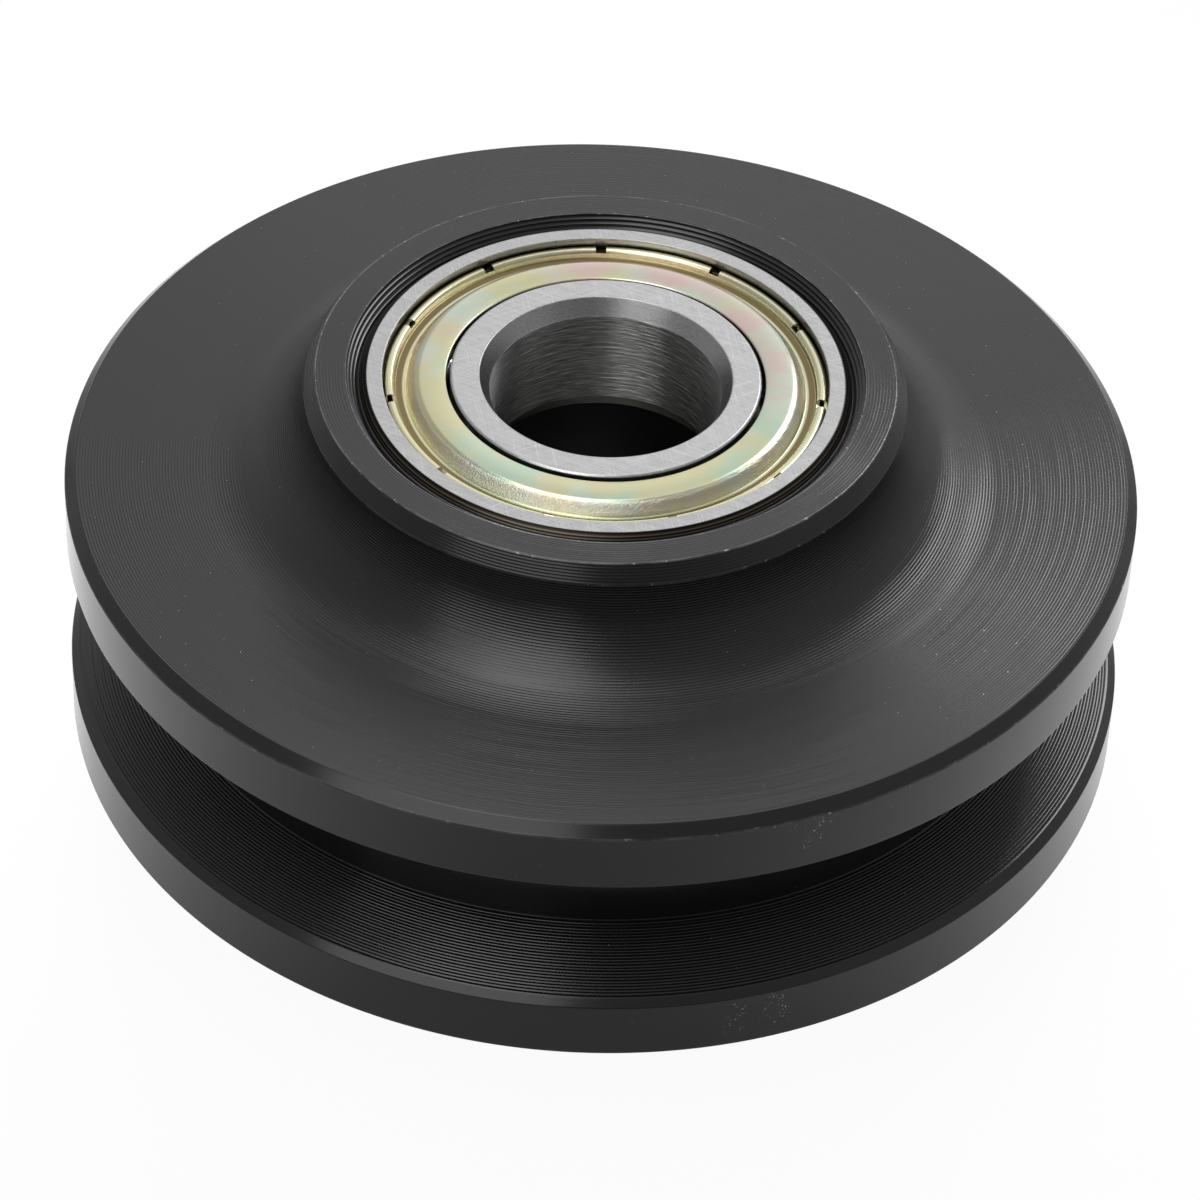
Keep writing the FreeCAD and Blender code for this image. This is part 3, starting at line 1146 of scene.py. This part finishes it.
@dataclass
class Bearing:
    """A deep groove ball bearing of 15 x 32 x 9 with a pressed shield at each face."""

    side: Side
    middle: float = 12.5
    width: float = 9.0
    radius: float = 16.0
    bore_radius: float = 7.5
    ring_chamfer: float = 0.5
    bore_chamfer: tuple[float, float] = (0.67, 1.15)
    inner_shoulder: float = 10.05
    inner_shoulder_chamfer: float = 0.1
    outer_shoulder: float = 13.65
    seat_mouth: tuple[float, float] = (14.42, 0.55)
    seat_groove_radius: float = 14.62
    seat_floor_depth: float = 1.17
    ball_count: int = 9
    ball_radius: float = 2.381
    pitch_radius: float = 11.75
    race_conformity: float = 0.52
    race_play: float = 0.02
    race_steps: int = 8
    segments: int = 240

    def race(self, outward: int, shoulder: float) -> list[Corner]:
        """The upper half of a race, from its bottom to its shoulder.

        Args:
            outward: 1 for the outer ring's race, -1 for the inner ring's.
            shoulder: The radius at which the race ends.

        Returns:
            The corners along the race.
        """
        groove = self.race_conformity * 2 * self.ball_radius
        centre = self.pitch_radius + outward * (self.ball_radius + self.race_play - groove)
        half_angle = math.acos(outward * (shoulder - centre) / groove)
        steps = self.race_steps + 0.5
        angles = [half_angle * (step + 0.5) / steps for step in range(self.race_steps + 1)]
        return [
            Corner(centre + outward * groove * math.cos(angle), groove * math.sin(angle), 0.0, worked=1.0)
            for angle in angles
        ]

    def outer_corners(self) -> list[Corner]:
        """Lays out the upper half of the outer ring's section.

        Returns:
            The corners, from its race round to its outside.
        """
        face = self.width / 2
        mouth_radius, mouth_depth = self.seat_mouth
        seat_floor = face - self.seat_floor_depth
        return [
            *self.race(1, self.outer_shoulder),
            Corner(self.outer_shoulder, seat_floor, 0.03),
            Corner(self.seat_groove_radius, seat_floor, 0.0),
            Corner(self.seat_groove_radius, face - mouth_depth, 0.0),
            Corner(mouth_radius, face - mouth_depth, 0.03, worked=0.8),
            Corner(mouth_radius, face, 0.05, worked=0.92),
            Corner(self.radius - self.ring_chamfer, face, 0.1),
            Corner(self.radius, face - self.ring_chamfer, 0.15, worked=1.0),
        ]

    def inner_corners(self) -> list[Corner]:
        """Lays out the upper half of the inner ring's section.

        Returns:
            The corners, from its race round to its bore.
        """
        face = self.width / 2
        chamfer_out, chamfer_down = self.bore_chamfer
        return [
            *self.race(-1, self.inner_shoulder),
            Corner(self.inner_shoulder, face - self.inner_shoulder_chamfer, 0.05, worked=1.0),
            Corner(self.inner_shoulder - self.inner_shoulder_chamfer, face, 0.14, worked=1.0),
            Corner(self.bore_radius + chamfer_out, face, 0.08, worked=0.8),
            Corner(self.bore_radius, face - chamfer_down, 0.12, worked=1.0, finish=1),
        ]

    def build(self, steel: Sequence[bpy.types.Material], zinc: bpy.types.Material) -> None:
        """Builds the rings and shields and puts them on their bodies.

        Args:
            steel: The rings' finishes: ground, then honed.
            zinc: The shields' finish.
        """
        lift = self.side.value * self.middle
        rings = (
            ("outer_ring", self.outer_corners(), "wheel"),
            ("inner_ring", self.inner_corners(), self.side.name_of("inner_ring")),
        )
        for name, corners, body in rings:
            rows = section_rows(with_mirror(corners))
            label = f"{self.side.name_of(name)}_dressed"
            mesh = turned_mesh(label, rows, self.segments, lift)
            for material in steel:
                mesh.materials.append(material)
            mesh.set_sharp_from_angle(angle=SHARP_ANGLE)
            settle(new_piece(label, mesh), body, Slot.RING, self.side.name_of(name))
        Shield().build(self, zinc)

    def dress(self, ball: bpy.types.Material, cage: bpy.types.Material) -> None:
        """Gives the balls, cage halves and rivets their finishes.

        Args:
            ball: The balls' finish.
            cage: The finish of the cage halves and rivets.
        """
        for index in range(self.ball_count):
            dress_node(self.side.name_of(f"ball_{index + 1}"), ball)
        for part in ("cage_front_half", "cage_rear_half", "cage_rivets"):
            dress_node(self.side.name_of(part), cage)


@dataclass(frozen=True)
class Bend:
    """A bend of a shield's middle line.

    Attributes:
        radius: Distance from the axle's axis.
        depth: Depth under the bearing's face.
        rounding: Radius of the arc at the bend.
    """

    radius: float
    depth: float
    rounding: float


@dataclass
class Shield:
    """A bearing's pressed shield: a flat ring, a channel and a notched bead on a lip."""

    sheet: float = 0.2
    inner_radius: float = 10.3
    flat: Bend = Bend(12.25, 0.27, 0.65)
    channel_inner: Bend = Bend(12.9, 1.1, 0.2)
    channel_outer: Bend = Bend(13.65, 1.01, 0.12)
    bead_inner: Bend = Bend(13.78, 0.55, 0.2)
    bead_outer: Bend = Bend(14.2, 0.55, 0.2)
    lip: Bend = Bend(14.25, 1.07, 0.13)
    lip_end_radius: float = 14.5
    edge_turns: tuple[float, ...] = (225.0, 180.0, 135.0)
    notch_count: int = 11
    notch_width: float = 0.7
    notch_phase: float = 93.0
    notch_depths: tuple[float, float] = (0.69, 0.94)
    columns: int = 20

    def middle_line(self) -> list[np.ndarray]:
        """Lays out the sheet's middle line with its bends rounded.

        Returns:
            Its points from the inner edge to the lip's end, as radius and height over the face.
        """
        bends = [
            self.flat, self.channel_inner, self.channel_outer, self.bead_inner, self.bead_outer, self.lip
        ]
        corners = [Corner(bend.radius, -bend.depth, bend.rounding) for bend in bends]
        first = np.array([self.inner_radius + self.sheet / 2, -self.flat.depth])
        last = np.array([self.lip_end_radius, -self.lip.depth])
        places = [first, *(corner.place for corner in corners), last]
        line = [first]
        for before, corner, after in zip(places, corners, places[2:]):
            line += corner_arc(before, corner, after)
        return [*line, last]

    def with_cuts(self, line: list[np.ndarray]) -> tuple[list[np.ndarray], list[int]]:
        """The line with a point added where a notch ends on each side of the bead.

        Args:
            line: The sheet's middle line.

        Returns:
            The line and the indices of the added points.
        """
        made = [line[0]]
        cuts = []
        crown = (self.bead_inner.radius + self.bead_outer.radius) / 2
        for start, end in zip(line, line[1:]):
            level = -self.notch_depths[int(end[0] > crown)]
            crosses = (start[1] - level) * (end[1] - level) < 0
            if crosses and end[0] > self.channel_outer.radius:
                share = (level - start[1]) / (end[1] - start[1])
                cuts.append(len(made))
                made.append(start + (end - start) * share)
            made.append(end)
        return made, cuts

    def sides(self, line: list[np.ndarray]) -> tuple[np.ndarray, np.ndarray]:
        """The sheet's upper and lower faces beside its middle line.

        Args:
            line: The middle line.

        Returns:
            The points of the two faces.
        """
        points = np.array(line)
        runs = np.diff(points, axis=0)
        runs /= np.linalg.norm(runs, axis=1)[:, None]
        along = np.vstack([runs[:1], runs[1:] + runs[:-1], runs[-1:]])
        along /= np.linalg.norm(along, axis=1)[:, None]
        across = np.stack([-along[:, 1], along[:, 0]], axis=1) * self.sheet / 2
        return points + across, points - across

    def sector(self, name: str) -> bpy.types.Mesh:
        """One sector of the shield, from the middle of a notch to the middle of the next one.

        Args:
            name: The mesh's name.

        Returns:
            The mesh, about +X, with the bearing's face at height 0.
        """
        line, (first_cut, last_cut) = self.with_cuts(self.middle_line())
        upper, lower = self.sides(line)
        count = len(line)
        around = np.radians(self.edge_turns)
        edge = line[0] + np.stack([np.cos(around), np.sin(around)], axis=1) * self.sheet / 2
        loop = np.vstack([upper, lower[::-1], edge])
        span = FULL_TURN / self.notch_count
        half_notch = self.notch_width / 2 / self.bead_inner.radius
        inside = np.linspace(half_notch, span - half_notch, self.columns + 1)
        angles = np.concatenate([[0.0], inside, [span]])
        vertices = [
            (radius * math.cos(angle), radius * math.sin(angle), height)
            for angle in angles
            for radius, height in loop
        ]

        def under(index: int) -> int:
            """The place in the loop of the lower point below an upper one."""
            return 2 * count - 1 - index

        whole = list(range(len(loop)))
        pan = [*range(first_cut + 1), *(under(index) for index in range(first_cut, -1, -1))]
        pan += range(2 * count, len(loop))
        lip = [*range(last_cut, count), *(under(index) for index in range(count - 1, last_cut - 1, -1))]
        crown = [*range(first_cut, last_cut + 1)]
        crown += [under(index) for index in range(last_cut, first_cut - 1, -1)]
        faces = []
        last_column = len(angles) - 2
        for column in range(last_column + 1):
            loops = [pan, lip] if column in (0, last_column) else [whole]
            here = column * len(loop)
            there = here + len(loop)
            for ring in loops:
                for start, end in zip(ring, [*ring[1:], ring[0]]):
                    faces.append((here + start, here + end, there + end, there + start))
        faces.append([len(loop) + index for index in crown])
        faces.append([last_column * len(loop) + index for index in reversed(crown)])
        mesh = bpy.data.meshes.new(name)
        mesh.from_pydata((np.array(vertices) * MM).tolist(), [], faces)
        mesh.shade_smooth()
        return mesh

    def ring_tree(self) -> GeometryTree:
        """Makes the tree that sets copies of a sector round the axis and merges them into one pressing.

        Returns:
            The tree, with inputs for the sectors, the first notch, the merge and the material.
        """
        tree = GeometryTree("shield_sectors")
        count = tree.size("Sectors", "NodeSocketInt")
        phase = tree.size("First notch", "NodeSocketFloat")
        reach = tree.size("Merge distance", "NodeSocketFloat")
        material = tree.size("Material", "NodeSocketMaterial")
        points = tree.add("GeometryNodePoints", {"Count": count})
        step = tree.math("DIVIDE", FULL_TURN, count)
        index = tree.add("GeometryNodeInputIndex").outputs[0]
        angle = tree.math("MULTIPLY_ADD", index, step, phase)
        rotation = tree.add("FunctionNodeEulerToRotation", {0: tree.vector(z=angle)}).outputs[0]
        inputs = {"Points": points.outputs[0], "Instance": tree.start.outputs[0], "Rotation": rotation}
        copies = tree.add("GeometryNodeInstanceOnPoints", inputs)
        whole = tree.add("GeometryNodeRealizeInstances", {"Geometry": copies.outputs[0]})
        merged = tree.add("GeometryNodeMergeByDistance", {"Geometry": whole.outputs[0], "Distance": reach})
        tree.end(merged.outputs[0], material)
        return tree

    def build(self, bearing: Bearing, zinc: bpy.types.Material) -> None:
        """Builds a bearing's two shields and puts them on the wheel.

        Args:
            bearing: The bearing that they close.
            zinc: Their finish.
        """
        tree = self.ring_tree()
        for name, facing in (("front_shield", bearing.side.value), ("rear_shield", -bearing.side.value)):
            label = f"{bearing.side.name_of(name)}_dressed"
            piece = new_piece(label, self.sector(label))
            sizes = {
                "Sectors": self.notch_count,
                "First notch": math.radians(self.notch_phase),
                "Merge distance": MERGE_SHARE * self.sheet * MM,
                "Material": zinc,
            }
            tree.run_on(piece, sizes)
            face = bearing.side.value * bearing.middle + facing * bearing.width / 2
            piece.data.transform(Matrix.Translation((0, 0, face * MM)) @ Matrix.Diagonal((1, 1, facing, 1)))
            if facing < 0:
                piece.data.flip_normals()
            piece.data.set_sharp_from_angle(angle=SHARP_ANGLE)
            settle(piece, "wheel", Slot.SHIELD, bearing.side.name_of(name))


@dataclass(frozen=True)
class Softbox:
    """A studio light that faces the roller.

    Attributes:
        name: What the light is called.
        turn: Its bearing round the roller in degrees, 0 on +X and 90 behind the roller.
        elevation: Its height above the horizon in degrees.
        size: Its width and its length in millimetres, the length upright or, overhead, from front to back.
        power: Its power in watts.
        spin: Its turn about the line to the roller in degrees.
        mirrored: Whether shiny surfaces show it.
        distance: Its distance in millimetres.
    """

    name: str
    turn: float
    elevation: float
    size: tuple[float, float]
    power: float
    spin: float = 0.0
    mirrored: bool = True
    distance: float = 900.0

    def place(self) -> None:
        """Hangs the light and turns it to the roller."""
        turn, rise = math.radians(self.turn), math.radians(self.elevation)
        flat = math.cos(rise)
        towards = Vector((flat * math.cos(turn), flat * math.sin(turn), math.sin(rise)))
        light = bpy.data.lights.new(self.name, "AREA")
        light.shape = "RECTANGLE"
        light.size = self.size[0] * MM
        light.size_y = self.size[1] * MM
        light.energy = self.power
        lamp = bpy.data.objects.new(self.name, light)
        length = Vector((0, 1, 0)) if self.elevation > OVERHEAD else Vector((0, 0, 1))
        width = length.cross(towards).normalized()
        facing = Matrix((width, towards.cross(width), towards)).transposed().to_4x4()
        spun = facing @ Matrix.Rotation(math.radians(self.spin), 4, "Z")
        lamp.matrix_world = Matrix.Translation(towards * self.distance * MM) @ spun
        lamp.visible_glossy = self.mirrored
        bpy.context.scene.collection.objects.link(lamp)


@dataclass
class Studio:
    """The floor with a pool of light painted round the roller, the soft light and the camera."""

    floor_side: float = 6000.0
    floor_gap: float = 0.05
    # A pool of light painted into the floor's colour: pale round this middle, behind the roller, and darker
    # farther out, as reflections and bounced light see it.
    floor_pool_middle: tuple[float, float, float] = (-4.0, 22.0, 0.0)
    floor_painted_pool: float = 0.85
    floor_painted_falloff: float = 0.2
    floor_pool_reach: tuple[float, float] = (25.0, 140.0)
    floor_glow: float = 0.95
    room_axis: tuple[float, float, float] = (0.12, 0.95, 0.28)
    room_levels: tuple[tuple[float, float], ...] = (
        (-0.8, 0.13),
        (-0.5, 0.26),
        (-0.2, 0.38),
        (0.3, 0.43),
        (0.68, 0.54),
        (0.8, 0.62),
        (0.9, 0.66),
        (1.0, 0.7),
    )
    camera_elevation: float = 41.536
    camera_roll: float = 2.601
    camera_distance: float = 342.78
    camera_aim: tuple[float, float, float] = (0.262, -5.768, 2.789)
    lens: float = 157.27
    softboxes: tuple[Softbox, ...] = (
        Softbox("right_box", 56.5, 41.0, (220.0, 390.0), 1.8),
        Softbox("back_panel", 89.0, 42.0, (450.0, 800.0), 0.36),
        Softbox("overhead_strip", 195.0, 80.0, (300.0, 960.0), 2.5, spin=-10.0),
        Softbox("front_left_fill", 240.0, 41.0, (640.0, 620.0), 1.85),
        Softbox("back_floor_light", 90.0, 35.0, (700.0, 400.0), 10.6, mirrored=False),
    )

    def build(self) -> None:
        """Sets up the whole studio."""
        self.floor()
        self.world()
        self.camera()
        for softbox in self.softboxes:
            softbox.place()
        bpy.context.scene.view_settings.view_transform = "Standard"

    def show(self, nodes: NodeTree, output: str, room: Socket, seen: Socket, share: Value = 1.0) -> None:
        """Closes a tree that looks different to the camera than to the light in the room.

        Args:
            nodes: The tree.
            output: The type of its output node.
            room: The shader that light and reflections meet.
            seen: The shader that the camera sees.
            share: How far the camera sees it.
        """
        ray = nodes.add("ShaderNodeLightPath").outputs["Is Camera Ray"]
        mixed = nodes.add("ShaderNodeMixShader", {0: nodes.math("MULTIPLY", ray, share), 1: room, 2: seen})
        nodes.add(output, {"Surface": mixed.outputs[0]})

    def floor(self) -> None:
        """Lays a floor under the lower hub face, with a pool of light painted into its colour round the
        roller that darkens farther out, and all white to the camera.
        """
        lowest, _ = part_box("wheel_body")
        half = self.floor_side * MM / 2
        corners = [(-half, -half), (half, -half), (half, half), (-half, half)]
        mesh = bpy.data.meshes.new("floor")
        height = lowest.z - self.floor_gap * MM
        mesh.from_pydata([(x, y, height) for x, y in corners], [], [(0, 1, 2, 3)])
        floor = new_piece("floor", mesh)
        material = bpy.data.materials.new("white_floor")
        material.use_nodes = True
        material.node_tree.nodes.clear()
        nodes = NodeTree(material.node_tree)
        near, far = (reach * MM for reach in self.floor_pool_reach)
        place = nodes.add("ShaderNodeTexCoord").outputs["Object"]
        inputs = {0: place, 1: Vector(self.floor_pool_middle) * MM}
        away = nodes.add("ShaderNodeVectorMath", inputs, operation="DISTANCE").outputs["Value"]
        # Painted pool of light: the floor's colour fades from pale near the roller to dark farther out.
        white = nodes.between(away, near, far, self.floor_painted_pool, self.floor_painted_falloff)
        matt = nodes.add("ShaderNodeBsdfDiffuse", {"Color": white}).outputs[0]
        glow = nodes.add("ShaderNodeEmission", {"Strength": 1.0}).outputs[0]
        shown = nodes.between(away, far / 2, far, self.floor_glow, 1.0)
        self.show(nodes, "ShaderNodeOutputMaterial", matt, glow, shown)
        mesh.materials.append(material)

    def world(self) -> None:
        """Makes a graded grey room that is plain white to the camera."""
        world = bpy.data.worlds.new("studio")
        world.use_nodes = True
        world.node_tree.nodes.clear()
        nodes = NodeTree(world.node_tree)
        direction = nodes.add("ShaderNodeTexCoord").outputs["Generated"]
        inputs = {0: direction, 1: self.room_axis}
        along = nodes.add("ShaderNodeVectorMath", inputs, operation="DOT_PRODUCT").outputs["Value"]
        inputs = {"Value": along, "From Min": -1.0, "From Max": 1.0}
        backward = nodes.add("ShaderNodeMapRange", inputs).outputs[0]
        ramp = nodes.add("ShaderNodeValToRGB", {"Fac": backward})
        elements = ramp.color_ramp.elements
        elements.remove(elements[0])
        for reach, level in self.room_levels:
            elements.new((reach + 1) / 2).color = (level, level, level, 1)
        elements.remove(elements[-1])
        room = nodes.add("ShaderNodeBackground", {"Color": ramp.outputs[0]}).outputs[0]
        white = nodes.add("ShaderNodeBackground", {"Color": (1, 1, 1, 1)}).outputs[0]
        self.show(nodes, "ShaderNodeOutputWorld", room, white)
        bpy.context.scene.world = world

    def camera(self) -> None:
        """Sets the camera at the photograph's viewing angle."""
        rise, roll = math.radians(self.camera_elevation), math.radians(self.camera_roll)
        back = Vector((0, -math.cos(rise), math.sin(rise)))
        level_right = Vector((1, 0, 0))
        level_up = back.cross(level_right)
        right = level_right * math.cos(roll) + level_up * math.sin(roll)
        up = back.cross(right)
        eye = (Vector(self.camera_aim) + back * self.camera_distance) * MM
        data = bpy.data.cameras.new("camera")
        data.lens = self.lens
        camera = bpy.data.objects.new("camera", data)
        camera.matrix_world = Matrix.Translation(eye) @ Matrix((right, up, back)).transposed().to_4x4()
        bpy.context.scene.collection.objects.link(camera)
        bpy.context.scene.camera = camera


def main() -> None:
    """Builds and dresses the roller, then sets up the studio."""
    logging.basicConfig(level=logging.INFO, format="%(name)s: %(message)s")
    Wheel().build()
    steel = (GroundSteel().material(), HonedSteel().material())
    zinc = YellowZinc().material()
    ball = PolishedBall().material()
    cage = PressedSteel().material()
    for side in Side:
        bearing = Bearing(side)
        bearing.build(steel, zinc)
        bearing.dress(ball, cage)
    Studio().build()


if __name__ == "__main__":
    main()
